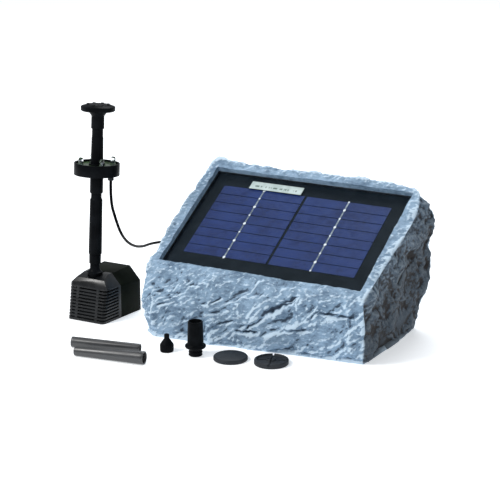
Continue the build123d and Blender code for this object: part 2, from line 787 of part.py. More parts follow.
with BuildPart() as cone_nozzle:
    with BuildSketch(upright(-64.9, -123.7)):
        with BuildLine():
            Polyline(
                (4.6, 0), (6.4, 0), (6.4, 7.6), (2.6, 13.2), (2.6, 17.0), (2.1, 17.6),
                (1.2, 17.6), (1.2, 12.0), (4.6, 8.0), close=True,
            )
        make_face()
    revolve(axis=Axis((-64.9, -123.7, 0), (0, 0, 1)))
    with BuildSketch(Plane.XY.offset(0.8)):
        with Locations((-64.9, -123.7)):
            with PolarLocations(6.3, 20):
                Rectangle(0.9, 0.7)
    extrude(amount=6.2)
pieces["cone_nozzle"] = cone_nozzle

pieces["foam_nozzle"] = turned(
    [(4.8, 0), (6.0, 0), (6.8, 0.8), (6.8, 2.0), (6.3, 2.3), (6.3, 3.1), (6.8, 3.4), (6.8, 4.6), (6.3, 4.9),
     (6.3, 6.2), (6.8, 7.0), (9.4, 8.2), (10.2, 9.2), (10.2, 10.6), (8.2, 12.0), (7.9, 13.0),
     (7.3, 34.4), (6.9, 35.0), (6.1, 35.0), (6.1, 14.0), (4.8, 12.5)],
    upright(-34.2, -120.8),
)

spare_radius, spare_height = 16.7, 4.2
with BuildPart() as plain_disc:
    with BuildSketch(upright(1.4, -115.0)):
        with BuildLine():
            Polyline(
                (0, 0), (spare_radius - 0.6, 0), (spare_radius, 0.6), (spare_radius, spare_height - 1.0),
                (spare_radius - 1.0, spare_height), (0, spare_height + 0.3), close=True,
            )
        make_face()
    revolve(axis=Axis((1.4, -115.0, 0), (0, 0, 1)))
pieces["plain_disc"] = plain_disc

with BuildPart() as lobed_disc:
    with BuildSketch(upright(41.4, -106.6)):
        with BuildLine():
            Polyline(
                (0, 0), (spare_radius - 0.6, 0), (spare_radius, 0.6), (spare_radius, spare_height),
                (spare_radius - 0.8, spare_height + 0.6), (14.2, spare_height + 0.6),
                (13.4, spare_height - 0.6), (4.6, spare_height - 0.6), (4.0, spare_height + 0.6),
                (0, spare_height + 0.6), close=True,
            )
        make_face()
    revolve(axis=Axis((41.4, -106.6, 0), (0, 0, 1)))
    with BuildSketch(Plane.XY.offset(2.6)):
        with Locations(Location((41.4, -106.6), 20)):
            Rectangle(40, 1.5)
            Rectangle(1.5, 40)
            with PolarLocations(spare_radius + 0.9, 4):
                Circle(2.0)
    extrude(amount=6, mode=Mode.SUBTRACT)
pieces["lobed_disc"] = lobed_disc

# ---------------------------------------------------------------- cord
plug_back = plate_front + 27.0
with BuildPart() as led_plug:
    with BuildSketch(upright(led_socket_x, plate_front + 20)):
        with Locations((0, socket_height)):
            Circle(6.4)
    extrude(amount=18.2)
    with BuildSketch(upright(led_socket_x, plate_front + 7.5)):
        with Locations((0, socket_height)):
            Circle(5.0)
    extrude(amount=7.5, mode=Mode.SUBTRACT)
    with BuildSketch(upright(led_socket_x, plate_front + 7.5)):
        with Locations((0, socket_height)):
            Circle(2.7)
    extrude(amount=8)
    with BuildSketch(upright(led_socket_x, plate_front + 20)):
        with Locations((0, socket_height)):
            Circle(4.2)
    with BuildSketch(upright(led_socket_x, plug_back)):
        with Locations((0, socket_height)):
            Circle(2.2)
    loft()
pieces["led_plug"] = led_plug

lead_route = [
    (-168.0, -59.19, 144.79), (-168.0, -60.83, 123.86), (-166.5, -54.0, 103.0), (-170.5, -39.0, 84.0),
    (-178.5, -15.0, 67.5), (-189.5, 17.0, 53.0), (-203.5, 56.0, 41.0), (-219.0, 98.0, 32.0),
    (-222.0, 138.0, 24.0), (-195.0, 166.0, 6.0), (-148.0, 168.0, 1.5), (-98.0, 157.0, 1.5),
    (-50.0, 152.0, 1.5),
]
tail_route = [(-26.0, 128.0, 10.8), (-25.5, 114.0, 11.5), (-26.0, 101.0, 22.0), (-26.0, 87.0, 22.0)]


def bend_radii(route):
    """The arc at each corner: 0.45 of its shorter run over the tangent of half the turn."""
    radii = []
    for before, corner, after in zip(route, route[1:], route[2:]):
        run_in, run_out = Vector(*corner) - Vector(*before), Vector(*after) - Vector(*corner)
        half_turn = radians(run_in.get_angle(run_out)) / 2
        radii.append(0.45 * min(run_in.length, run_out.length) / tan(half_turn))
    return radii


def cord_tube(name, route):
    """A round tube along straight runs joined by tangent arcs."""
    radii = bend_radii(route)
    with BuildPart() as tube:
        with BuildLine() as path:
            FilletPolyline(*route, radius=radii)
        middle = path.wire()
        with BuildSketch(Plane(origin=middle @ 0, z_dir=middle % 0)):
            Circle(cord_radius)
        sweep()
    runs = [(Vector(*b) - Vector(*a)).length for a, b in zip(route, route[1:])]
    print(name, "runs", [round(r, 1) for r in runs], "radii", [round(r, 1) for r in radii],
          "length", round(middle.length, 1),
          "volume ratio", round(tube.part.volume / (middle.length * pi * cord_radius**2), 4))
    return tube


pieces["led_cord_lead"] = cord_tube("lead", lead_route)
pieces["led_cord_tail"] = cord_tube("tail", tail_route)

with BuildPart() as led_cord_coil:
    with BuildSketch(upright(*coil_centre)):
        with Locations((coil_middle, coil_height / 2)):
            RectangleRounded(coil_width, coil_height, 4)
    revolve(axis=Axis((*coil_centre, 0), (0, 0, 1)))
pieces["led_cord_coil"] = led_cord_coil

tie_turn = 14.0
with BuildPart() as cord_tie:
    with BuildSketch(upright(*coil_centre)):
        with Locations((-coil_middle, coil_height / 2 + 0.6)):
            RectangleRounded(coil_width + 2.4, coil_height + 1.2, 4.6)
        with Locations((-coil_middle, coil_height / 2)):
            RectangleRounded(coil_width, coil_height, 4, mode=Mode.SUBTRACT)
    revolve(axis=Axis((*coil_centre, 0), (0, 0, 1)), revolution_arc=tie_turn)
pieces["cord_tie"] = cord_tie

# ---------------------------------------------------------------- export
for label, piece in pieces.items():
    piece.part.label = label
    export_step(piece.part, f"parts/{label}.step")
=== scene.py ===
import json
from math import cos, hypot, pi, radians, sin

import bmesh
import bpy
import numpy as np
from mathutils import Matrix, Vector, kdtree, noise


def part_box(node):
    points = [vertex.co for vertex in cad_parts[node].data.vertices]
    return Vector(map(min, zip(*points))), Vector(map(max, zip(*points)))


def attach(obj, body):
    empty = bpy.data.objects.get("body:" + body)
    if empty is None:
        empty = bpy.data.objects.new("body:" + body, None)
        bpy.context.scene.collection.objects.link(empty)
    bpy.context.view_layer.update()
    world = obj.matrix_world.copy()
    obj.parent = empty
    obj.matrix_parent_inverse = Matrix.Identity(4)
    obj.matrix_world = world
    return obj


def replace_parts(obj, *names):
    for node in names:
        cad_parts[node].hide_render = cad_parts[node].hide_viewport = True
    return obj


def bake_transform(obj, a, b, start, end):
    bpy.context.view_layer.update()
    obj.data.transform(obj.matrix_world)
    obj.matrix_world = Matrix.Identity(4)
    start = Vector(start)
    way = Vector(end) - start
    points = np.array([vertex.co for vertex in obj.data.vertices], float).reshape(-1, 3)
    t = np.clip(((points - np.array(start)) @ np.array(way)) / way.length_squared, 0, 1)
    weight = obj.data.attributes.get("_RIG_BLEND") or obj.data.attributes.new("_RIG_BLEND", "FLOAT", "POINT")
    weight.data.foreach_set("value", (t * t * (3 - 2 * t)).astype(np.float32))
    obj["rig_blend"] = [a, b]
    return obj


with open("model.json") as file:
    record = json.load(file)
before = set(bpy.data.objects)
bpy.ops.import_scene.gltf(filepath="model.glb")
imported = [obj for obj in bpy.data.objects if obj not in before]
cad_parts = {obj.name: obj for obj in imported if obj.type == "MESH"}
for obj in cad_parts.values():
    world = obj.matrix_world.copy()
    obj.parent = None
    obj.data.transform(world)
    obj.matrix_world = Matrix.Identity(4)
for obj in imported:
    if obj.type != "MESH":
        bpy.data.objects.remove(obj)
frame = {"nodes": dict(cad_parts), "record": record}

# Solar fountain pump kit: a resin rock with a sunk solar panel, a small pump with its riser
# and LED ring, and loose tubes and nozzles. Metres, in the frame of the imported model.

# The noise vectors are shifted by the clock unless a seed is set.
noise.seed_set(43)

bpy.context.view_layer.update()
NODES = frame["nodes"]
MM = 0.001
BODY_OF = {
    node: body
    for body, nodes in frame["record"]["behaviour"]["bodies"].items()
    for node in nodes
}
SLOT_OF = {part["node"]: part["material_slot"] for part in frame["record"]["subparts"]}


# ---------------------------------------------------------------- camera, light and floor
def camera():
    data = bpy.data.cameras.new("camera")
    data.lens, data.sensor_width = 129.6, 36.0
    data.clip_start, data.clip_end = 0.05, 50.0
    eye = bpy.data.objects.new("camera", data)
    eye.location = (0.80193, -1.53826, 0.58716)
    eye.rotation_euler = (radians(90 - 16.3), 0.0, radians(28.7))
    bpy.context.collection.objects.link(eye)
    bpy.context.scene.camera = eye


def lamp(name, place, target, size, power, colour):
    data = bpy.data.lights.new(name, "AREA")
    data.shape, data.size, data.energy, data.color = "DISK", size, power, colour
    light = bpy.data.objects.new(name, data)
    light.location = place
    light.rotation_euler = (Vector(target) - Vector(place)).to_track_quat("-Z", "Y").to_euler()
    bpy.context.collection.objects.link(light)


def studio():
    lamp("key", (-1.05, -1.05, 1.52), (0, 0, 0.05), 0.6, 24, (1.0, 0.99, 0.97))
    lamp("back", (-0.25, 1.1, 1.6), (0, 0, 0.05), 0.9, 20, (0.94, 0.97, 1.0))
    world = bpy.data.worlds.new("studio")
    world.use_nodes = True
    back = world.node_tree.nodes["Background"]
    back.inputs["Color"].default_value = (0.93, 0.96, 1.0, 1.0)
    back.inputs["Strength"].default_value = 0.45
    bpy.context.scene.world = world
    bpy.context.scene.view_settings.view_transform = "Standard"


# ---------------------------------------------------------------- materials
class Surface:
    """A node material: a principled shader and short names for the nodes that feed it."""

    def __init__(self, name, **sockets):
        self.material = bpy.data.materials.new(name)
        self.material.use_nodes = True
        self.tree = self.material.node_tree
        self.shader = self.tree.nodes["Principled BSDF"]
        self.place = self.add("ShaderNodeTexCoord").outputs["Object"]
        self.set(**sockets)

    def add(self, kind, sockets=None, **settings):
        made = self.tree.nodes.new(kind)
        for key, value in settings.items():
            setattr(made, key, value)
        for key, value in (sockets or {}).items():
            self.feed(made.inputs[key], value)
        return made

    def feed(self, socket, value):
        if isinstance(value, bpy.types.NodeSocket):
            self.tree.links.new(value, socket)
        elif socket.type == "RGBA":
            socket.default_value = (*value, 1.0)
        else:
            socket.default_value = value

    def set(self, **sockets):
        for key, value in sockets.items():
            self.feed(self.shader.inputs[key.replace("_", " ").title().replace("Ior", "IOR")], value)
        return self

    def moved(self, turn=(0, 0, 0), scale=(1, 1, 1)):
        return self.add(
            "ShaderNodeMapping", {"Vector": self.place, "Rotation": turn, "Scale": scale}
        ).outputs["Vector"]

    def noise(self, size, detail=3.0, rough=0.55, where=None):
        """Noise whose features are about size metres across."""
        return self.add(
            "ShaderNodeTexNoise",
            {"Vector": where or self.place, "Scale": 1 / size, "Detail": detail, "Roughness": rough},
        ).outputs["Fac"]

    def cells(self, size, feature="F1", output="Distance", where=None):
        return self.add(
            "ShaderNodeTexVoronoi", {"Vector": where or self.place, "Scale": 1 / size},
            feature=feature,
        ).outputs[output]

    def span(self, value, low, high, to_low=0.0, to_high=1.0):
        return self.add(
            "ShaderNodeMapRange",
            {"Value": value, "From Min": low, "From Max": high, "To Min": to_low, "To Max": to_high},
            interpolation_type="SMOOTHSTEP",
        ).outputs["Result"]

    def math(self, operation, a, b=0.0):
        made = self.add("ShaderNodeMath", operation=operation)
        self.feed(made.inputs[0], a)
        self.feed(made.inputs[1], b)
        return made.outputs["Value"]

    def mix(self, factor, a, b, blend="MIX"):
        made = self.add("ShaderNodeMix", data_type="RGBA", blend_type=blend)
        self.feed(made.inputs["Factor"], factor)
        self.feed(made.inputs[6], a)
        self.feed(made.inputs[7], b)
        return made.outputs[2]

    def data(self, name):
        return self.add("ShaderNodeAttribute", attribute_name=name).outputs["Fac"]

    def bump(self, height, depth, strength=1.0):
        """Bumps of that depth in metres."""
        self.set(Normal=self.add(
            "ShaderNodeBump", {"Height": height, "Distance": depth, "Strength": strength}
        ).outputs["Normal"])
        return self


def plastic(name, dark, light, rough, grain=0.7 * MM, depth=0.04 * MM, gloss=0.2):
    """Moulded plastic: two near tones in soft patches, a fine grain and uneven gloss."""
    s = Surface(name, specular_ior_level=gloss)
    patches = s.noise(14 * MM, 4.0)
    fine = s.noise(grain, 2.0)
    specks = s.span(s.noise(0.9 * MM, 2.0, 0.7), 0.66, 0.76)
    tone = s.mix(s.span(patches, 0.35, 0.7), dark, light)
    dusty = tuple(min(1.0, 2.2 * c + 0.01) for c in light)
    s.set(
        base_color=s.mix(s.math("MULTIPLY", specks, 0.5), tone, dusty),
        roughness=s.math("ADD", s.span(patches, 0.3, 0.75, rough - 0.06, rough + 0.08),
                         s.math("MULTIPLY", fine, 0.05)),
    )
    return s.bump(s.math("ADD", fine, s.math("MULTIPLY", patches, 0.6)), depth).material


def metal(name, colour, rough):
    """Plated metal with fine drawn lines and a little tarnish."""
    s = Surface(name, metallic=1.0)
    lines = s.noise(0.5 * MM, 2.0, 0.6, s.moved(scale=(1, 1, 6)))
    stain = s.noise(6 * MM, 4.0)
    s.set(
        base_color=s.mix(s.span(stain, 0.45, 0.75), colour, tuple(0.6 * c for c in colour)),
        roughness=s.span(lines, 0.2, 0.8, rough - 0.08, rough + 0.12),
    )
    return s.bump(lines, 0.02 * MM).material


def rock_paint():
    """Blue-grey resin: dark wash and painted shade in the hollows, white dry brushing and painted highlights
    on the crests, painted shade on the right side.
    """
    s = Surface("painted_rock")
    # The crest guide holds the crests and the painted light and shade of the facets' lean towards the key
    # lamp; the shade guide is painted shade on the right side.
    crest, swell, side = s.data("crest"), s.data("swell"), s.data("shade")
    broad, patch = s.noise(34 * MM, 4.0, 0.55), s.noise(8 * MM, 6.0, 0.65)
    streak = s.noise(3.0 * MM, 6.0, 0.72, s.moved((0, radians(35), 0), (0.42, 1, 1.5)))
    grit = s.noise(0.9 * MM, 4.0, 0.7)
    mottle = s.math("ADD", s.math("MULTIPLY", patch, 0.6), s.math("MULTIPLY", streak, 0.5))
    tone = s.mix(s.span(s.math("ADD", mottle, s.math("MULTIPLY", broad, 0.5)), 0.58, 0.96),
                 (0.085, 0.150, 0.235), (0.30, 0.435, 0.585))
    # White dry brushing on the crests, with painted highlights on the facets that face the key lamp.
    drybrush_and_painted_highlight = s.math("ADD", crest, s.math("MULTIPLY", s.math("SUBTRACT", streak, 0.5), 1.1))
    drybrush_and_painted_highlight = s.math("ADD", drybrush_and_painted_highlight, s.math("MULTIPLY", s.math("SUBTRACT", grit, 0.5), 0.35))
    tone = s.mix(s.span(drybrush_and_painted_highlight, 0.12, 0.75, 0.0, 0.8), tone, (0.64, 0.79, 0.92))
    # Dark wash in the hollows and on facets turned from the key lamp, partly painted shade.
    wash_and_painted_shade = s.math("ADD", s.math("MULTIPLY", crest, -0.9), s.math("MULTIPLY", swell, -0.8))
    wash_and_painted_shade = s.math("ADD", wash_and_painted_shade, s.math("MULTIPLY", s.math("SUBTRACT", patch, 0.5), 0.7))
    tone = s.mix(s.span(wash_and_painted_shade, 0.40, 1.25, 0.0, 0.88), tone, (0.018, 0.032, 0.055))
    # Painted shade: the right side, turned from the lamps, is painted darker.
    tone = s.mix(s.math("MULTIPLY", side, 0.86), tone, (0.016, 0.021, 0.027))
    # Brown-black paint in the right side's hollows, laid only where the painted shade is, so partly painted
    # shade too.
    brown_hollows_and_painted_shade = s.math("MULTIPLY", side, s.span(s.math("ADD", wash_and_painted_shade, patch), 0.35, 0.95))
    tone = s.mix(s.math("MULTIPLY", brown_hollows_and_painted_shade, 0.85), tone, (0.014, 0.010, 0.008))
    s.set(base_color=tone, roughness=s.span(patch, 0.3, 0.7, 0.55, 0.75), specular_ior_level=0.3)
    grain = s.math("ADD", s.math("MULTIPLY", grit, 0.35), s.math("MULTIPLY", streak, 0.8))
    return s.bump(grain, 1.0 * MM, 0.8).material


def rock_inside():
    """The smooth painted wall of the recess and the bare resin inside."""
    s = Surface("smooth_resin")
    patch = s.noise(9 * MM, 5.0, 0.6)
    s.set(base_color=s.mix(s.span(patch, 0.35, 0.7), (0.10, 0.14, 0.18), (0.19, 0.25, 0.30)),
          roughness=s.span(patch, 0.3, 0.7, 0.5, 0.65))
    return s.bump(s.noise(1.5 * MM, 4.0), 0.15 * MM).material


PANEL_TILT = radians(30)


def cell_blue():
    """Cut crystals in blue, with fine printed lines across the strips."""
    s = Surface("silicon_blue", coat_weight=0.3, coat_roughness=0.15)
    flat = s.moved((-PANEL_TILT, 0, 0))
    crystals = s.add("ShaderNodeTexVoronoi", {"Vector": flat, "Scale": 1 / (3.4 * MM)})
    facing = s.add("ShaderNodeSeparateColor", {"Color": crystals.outputs["Color"]}).outputs["Red"]
    tone = s.mix(facing, (0.004, 0.014, 0.098), (0.009, 0.028, 0.165))
    tone = s.mix(s.span(s.noise(26 * MM, 2.0), 0.35, 0.7), tone, (0.012, 0.034, 0.18))
    across = s.add("ShaderNodeSeparateXYZ", {"Vector": flat}).outputs["Y"]
    wave = s.math("SINE", s.math("MULTIPLY", across, 2 * pi / (1.55 * MM)))
    tone = s.mix(s.span(wave, 0.86, 1.0, 0.0, 0.4), tone, (0.11, 0.14, 0.24))
    s.set(base_color=tone, roughness=s.math("ADD", s.math("MULTIPLY", facing, 0.12), 0.28))
    return s.bump(facing, 0.05 * MM, 0.4).material


def glass():
    """The panel's cover: clear, with a faint uneven gloss."""
    s = Surface("cover_glass")
    waves = s.noise(18 * MM, 3.0)
    normal = s.add("ShaderNodeBump", {"Height": waves, "Distance": 0.05 * MM}).outputs["Normal"]
    clear = s.add("ShaderNodeBsdfTransparent", {"Color": (0.93, 0.96, 0.97)}).outputs["BSDF"]
    gloss = s.add(
        "ShaderNodeBsdfGlossy",
        {
            "Color": (0.15, 0.19, 0.19),
            "Roughness": s.span(waves, 0.3, 0.7, 0.05, 0.12),
            "Normal": normal,
        },
    ).outputs["BSDF"]
    behind = s.add("ShaderNodeNewGeometry").outputs["Backfacing"]
    facing = s.math(
        "MULTIPLY", s.add("ShaderNodeFresnel", {"IOR": 1.42, "Normal": normal}).outputs["Fac"],
        s.math("SUBTRACT", 1.0, behind))
    both = s.add("ShaderNodeMixShader")
    s.feed(both.inputs[0], facing)
    s.feed(both.inputs[1], clear)
    s.feed(both.inputs[2], gloss)
    s.tree.links.new(both.outputs[0], s.tree.nodes["Material Output"].inputs["Surface"])
    s.tree.nodes.remove(s.shader)
    return s.material


def clear_lens():
    s = Surface("clear_lens", transmission_weight=1.0, ior=1.48)
    haze = s.noise(2.5 * MM, 3.0)
    s.set(base_color=s.mix(s.span(haze, 0.3, 0.8), (0.93, 0.97, 0.96), (0.80, 0.87, 0.86)),
          roughness=s.span(haze, 0.3, 0.8, 0.03, 0.12))
    return s.bump(haze, 0.03 * MM).material


def ribbon():
    s = Surface("tinned_ribbon", metallic=0.5)
    lumps = s.noise(4 * MM, 3.0, 0.6)
    s.set(base_color=s.mix(s.span(lumps, 0.3, 0.7), (0.24, 0.28, 0.33), (0.42, 0.47, 0.52)),
          roughness=s.span(lumps, 0.3, 0.7, 0.25, 0.5))
    return s.bump(lumps, 0.12 * MM).material


def label_film():
    """White film with rows of plain dashes that say nothing."""
    s = Surface("label_film")
    flat = s.moved((-PANEL_TILT, 0, 0))
    parts = s.add("ShaderNodeSeparateXYZ", {"Vector": flat})
    low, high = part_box("panel_label")
    middle = (low.y + high.y) / 2 * cos(PANEL_TILT) + (low.z + high.z) / 2 * sin(PANEL_TILT)
    row = s.math("ABSOLUTE", s.math("SUBTRACT", parts.outputs["Y"], middle - 0.9 * MM))
    dashes = s.noise(1.9 * MM, 1.0, 0.5, s.add(
        "ShaderNodeMapping", {"Vector": flat, "Scale": (1, 0.05, 0.05)}).outputs["Vector"])
    inked = s.math("MULTIPLY", s.span(row, 1.0 * MM, 1.25 * MM, 1.0, 0.0), s.span(dashes, 0.44, 0.50))
    inside = s.math("ABSOLUTE", s.math("SUBTRACT", parts.outputs["X"], (low.x + high.x) / 2))
    inked = s.math("MULTIPLY", inked, s.span(inside, 24 * MM, 25 * MM, 1.0, 0.0))
    stain = s.noise(9 * MM, 4.0)
    paper = s.mix(s.span(stain, 0.35, 0.7), (0.44, 0.54, 0.53), (0.56, 0.66, 0.65))
    s.set(base_color=s.mix(s.math("MULTIPLY", inked, 0.85), paper, (0.07, 0.12, 0.10)),
          roughness=s.span(stain, 0.3, 0.7, 0.35, 0.5))
    return s.bump(stain, 0.08 * MM).material


def board_green_and_sheen():
    """Green solder mask under a thin clear potting, with faint tracks; the green also stands for a painted
    reflection of green surroundings.
    """
    s = Surface("board_green_and_sheen", coat_weight=0.35, coat_roughness=0.18, specular_ior_level=0.25)
    tracks = s.span(s.cells(3.2 * MM, "DISTANCE_TO_EDGE"), 0.03, 0.09, 1.0, 0.0)
    patch = s.noise(6 * MM, 4.0)
    # The green is partly the mask's own colour and partly a painted reflection.
    green = s.mix(s.span(patch, 0.35, 0.7), (0.010, 0.030, 0.010), (0.030, 0.075, 0.018))
    s.set(base_color=s.mix(s.math("MULTIPLY", tracks, 0.45), green, (0.07, 0.13, 0.03)),
          roughness=s.span(patch, 0.3, 0.7, 0.25, 0.4))
    return s.bump(s.math("ADD", tracks, patch), 0.06 * MM).material


def winding():
    s = Surface("copper_winding", metallic=0.9)
    turns = s.math("SINE", s.math("MULTIPLY", s.add(
        "ShaderNodeSeparateXYZ", {"Vector": s.place}).outputs["Y"], 2 * pi / (0.4 * MM)))
    s.set(base_color=s.mix(s.span(turns, -1, 1), (0.35, 0.13, 0.05), (0.75, 0.38, 0.18)),
          roughness=s.span(s.noise(2 * MM), 0.3, 0.7, 0.25, 0.4))
    return s.bump(turns, 0.1 * MM).material


def wrapped():
    """Shrink wrap on the battery cells, two tones in bands."""
    s = Surface("battery_wrap")
    along = s.add("ShaderNodeSeparateXYZ", {"Vector": s.place}).outputs["X"]
    band = s.span(s.math("SINE", s.math("MULTIPLY", along, 90)), -0.2, 0.0)
    wrinkle = s.noise(5 * MM, 4.0)
    s.set(base_color=s.mix(band, (0.03, 0.12, 0.05), (0.09, 0.28, 0.14)),
          roughness=s.span(wrinkle, 0.3, 0.7, 0.22, 0.38))
    return s.bump(wrinkle, 0.1 * MM).material


def floor_white():
    s = Surface("pale_floor", roughness=0.9, emission_strength=0.45)
    cloud = s.noise(0.6, 2.0)
    s.set(base_color=s.mix(cloud, (0.90, 0.91, 0.92), (0.93, 0.94, 0.95)),
          emission_color=s.mix(cloud, (0.94, 0.96, 0.98), (0.96, 0.98, 1.0)))
    return s.bump(s.noise(0.01, 2.0), 0.05 * MM).material


BLACK, BLUE_BLACK = (0.0030, 0.0036, 0.0044), (0.0065, 0.0078, 0.0095)
LOOKS = {
    "black_plastic": plastic("moulded_black", BLACK, BLUE_BLACK, 0.36, gloss=0.03),
    "rock_resin": rock_paint(),
    "panel_cover": glass(),
    "panel_board": plastic("backing_black", (0.006, 0.010, 0.016), (0.013, 0.018, 0.026), 0.5,
                           1.6 * MM, gloss=0.1),
    "silicon_cell": cell_blue(),
    "tinned_ribbon": ribbon(),
    "seal_rubber": plastic("seal_rubber", (0.012, 0.014, 0.017), (0.030, 0.034, 0.040), 0.62),
    "label_film": label_film(),
    "steel": metal("plated_steel", (0.60, 0.60, 0.61), 0.3),
    "ferrite": plastic("ferrite", (0.045, 0.044, 0.046), (0.09, 0.09, 0.095), 0.55, 0.5 * MM, 0.08 * MM),
    "copper": winding(),
    "circuit_board": board_green_and_sheen(),
    "battery_wrap": wrapped(),
    "clear_led": clear_lens(),
    "cord_sheath": plastic("cord_sheath", (0.002, 0.002, 0.0024), (0.004, 0.0042, 0.005), 0.45, 0.5 * MM,
                           gloss=0.02),
    "button_rubber": plastic("button_rubber", (0.03, 0.032, 0.035), (0.06, 0.063, 0.068), 0.6),
}
SATIN = plastic("satin_grey_black", (0.009, 0.0105, 0.013), (0.016, 0.018, 0.022), 0.40,
                depth=0.01 * MM, gloss=1.0)
GLOSSY = plastic("glossy_black", BLACK, BLUE_BLACK, 0.28, depth=0.004 * MM, gloss=0.36)
# Black tinted green for the pump's housing and rear cover: a painted reflection of green surroundings.
GREEN_SHEEN_BLACK = plastic("black_with_painted_green_sheen", (0.0040, 0.0058, 0.0036), (0.0075, 0.0100, 0.0065), 0.42, gloss=0.03)
MATT = plastic("matt_black", (0.020, 0.024, 0.029), (0.030, 0.035, 0.041), 0.58, 0.6 * MM, 0.07 * MM)


def solder_white():
    """Bright lumps of solder, dulled in places."""
    s = Surface("solder", specular_ior_level=0.6)
    dull = s.noise(0.8 * MM, 3.0)
    s.set(base_color=s.mix(s.span(dull, 0.35, 0.7), (0.95, 0.97, 0.99), (0.78, 0.82, 0.86)),
          roughness=s.span(dull, 0.3, 0.7, 0.25, 0.5))
    return s.bump(dull, 0.08 * MM).material


# ---------------------------------------------------------------- mesh helpers
def linked(name, mesh, body, slot=None, material=None):
    """A new piece that rides on a body."""
    piece = bpy.data.objects.new(name, mesh)
    bpy.context.collection.objects.link(piece)
    if material or slot:
        mesh.materials.clear()
        mesh.materials.append(material or LOOKS[slot])
    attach(piece, body)
    return piece


def smooth(mesh, sharp=35):
    mesh.shade_smooth()
    mesh.set_sharp_from_angle(angle=radians(sharp))


def refined(node, material=None, edge=0.35 * MM, segments=2, name=None):
    """A finished copy of a CAD node: welded, with its moulded edges rounded."""
    mesh = NODES[node].data.copy()
    for layer in [a.name for a in mesh.attributes if a.name == "custom_normal"]:
        mesh.attributes.remove(mesh.attributes[layer])
    bm = bmesh.new()
    bm.from_mesh(mesh)
    bmesh.ops.remove_doubles(bm, verts=bm.verts, dist=0.004 * MM)
    for e in bm.edges:
        e.smooth = True
    bmesh.ops.dissolve_limit(
        bm, angle_limit=radians(0.6), verts=bm.verts, edges=bm.edges, use_dissolve_boundaries=False
    )
    corners = [e for e in bm.edges if e.is_manifold and e.calc_face_angle(0) > radians(32)]
    bmesh.ops.bevel(
        bm, geom=corners, offset=edge, offset_type="OFFSET", segments=segments, profile=0.5,
        affect="EDGES", clamp_overlap=True,
    )
    made = bpy.data.meshes.new(name or node + "_piece")
    bm.to_mesh(made)
    bm.free()
    bpy.data.meshes.remove(mesh)
    smooth(made)
    piece = linked(made.name, made, BODY_OF[node], SLOT_OF[node], material)
    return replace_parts(piece, node)


def from_bmesh(name, bm, body, slot, material=None, sharp=35):
    mesh = bpy.data.meshes.new(name)
    bm.to_mesh(mesh)
    bm.free()
    smooth(mesh, sharp)
    return linked(name, mesh, body, slot, material)


# ---------------------------------------------------------------- cord
LEAD = [
    (-0.1680, -0.05919, 0.14479), (-0.1680, -0.06083, 0.12386), (-0.1665, -0.0540, 0.1030),
    (-0.1705, -0.0390, 0.0840), (-0.1785, -0.0150, 0.0675), (-0.1895, 0.0170, 0.0530),
    (-0.2035, 0.0560, 0.0410), (-0.2190, 0.0980, 0.0320), (-0.2220, 0.1380, 0.0240),
    (-0.1950, 0.1660, 0.0060), (-0.1480, 0.1680, 0.0015), (-0.0980, 0.1570, 0.0015),
    (-0.0500, 0.1520, 0.0015),
]
TAIL = [
    (-0.0260, 0.1280, 0.0108), (-0.0255, 0.1140, 0.0115), (-0.0260, 0.1010, 0.0220),
    (-0.0260, 0.0870, 0.0220),
]
CORD = 3.0 * MM
COIL = Vector((-0.050, 0.128, 0))
COIL_TURNS, COIL_LAYERS, POINTS_A_TURN = 17.25, 4, 16


def coil_points():
    """Turns laid side by side in layers, from the rear round to the right."""
    count = round(COIL_TURNS * POINTS_A_TURN)
    outside, inside = 24 * MM, 12 * MM
    for k in range(1, count):
        along = k / count * COIL_LAYERS
        layer = min(int(along), COIL_LAYERS - 1)
        within = along - layer
        across = within if layer % 2 == 0 else 1 - within
        radius = (outside + (inside - outside) * across) / cos(pi / POINTS_A_TURN)
        radius += 0.25 * MM * sin(k * 1.7)
        climb = 0 if layer == COIL_LAYERS - 1 else max(0.0, (within - 0.88) / 0.12)
        angle = pi / 2 - k / count * COIL_TURNS * 2 * pi
        yield COIL + Vector((
            radius * cos(angle), radius * sin(angle), CORD / 2 + 3.1 * MM * (layer + climb)
        ))


def cord():
    route = [Vector(p) for p in LEAD] + list(coil_points()) + [Vector(p) for p in TAIL]
    line = bpy.data.curves.new("cord_route", "CURVE")
    line.dimensions = "3D"
    line.resolution_u = 8
    spline = line.splines.new("NURBS")
    spline.points.add(len(route) - 1)
    for point, place in zip(spline.points, route):
        point.co = (*place, 1.0)
    spline.order_u = 3
    spline.use_endpoint_u = True
    holder = bpy.data.objects.new("cord_route", line)
    bpy.context.collection.objects.link(holder)
    bpy.context.view_layer.update()
    bare = bpy.data.meshes.new_from_object(holder)
    path = [tuple(v.co) for v in bare.vertices]
    line.bevel_depth, line.bevel_resolution, line.use_fill_caps = CORD / 2, 3, True
    bpy.context.view_layer.update()
    tube = bpy.data.meshes.new_from_object(holder)
    bpy.data.objects.remove(holder)
    smooth(tube, 60)
    piece = bpy.data.objects.new("led_cord", tube)
    bpy.context.collection.objects.link(piece)
    tube.materials.clear()
    tube.materials.append(LOOKS["cord_sheath"])
    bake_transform(piece, "led_ring", "kit", start=(-0.168, -0.0605, 0.138), end=(-0.1895, 0.017, 0.053))
    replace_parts(piece, "led_cord_lead", "led_cord_tail", "led_cord_coil")
    plug, tie = refined("led_plug", SATIN), refined("cord_tie", LOOKS["seal_rubber"], 0.2 * MM)
    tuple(LEAD[0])


# ---------------------------------------------------------------- rock
RIM_UP = Vector((0, -sin(PANEL_TILT), cos(PANEL_TILT)))
RIM_BACK = Vector((0, cos(PANEL_TILT), sin(PANEL_TILT)))
RIM_CENTRE = Vector((0, 0, 0.105))
RECESS, RECESS_DEPTH, LEDGE = (0.224, 0.139), 8.8 * MM, 4.2 * MM
WINDOW = (0.200, 0.115)
# How far out the room inside reaches, as a share of the outline.
ROOM_SHARE_LOW, ROOM_SHARE_HIGH = 0.93, 0.84
# Beside the base plate the hollows stay shallower than this, in millimetres.
DEEPEST_AT_FOOT = 5.0
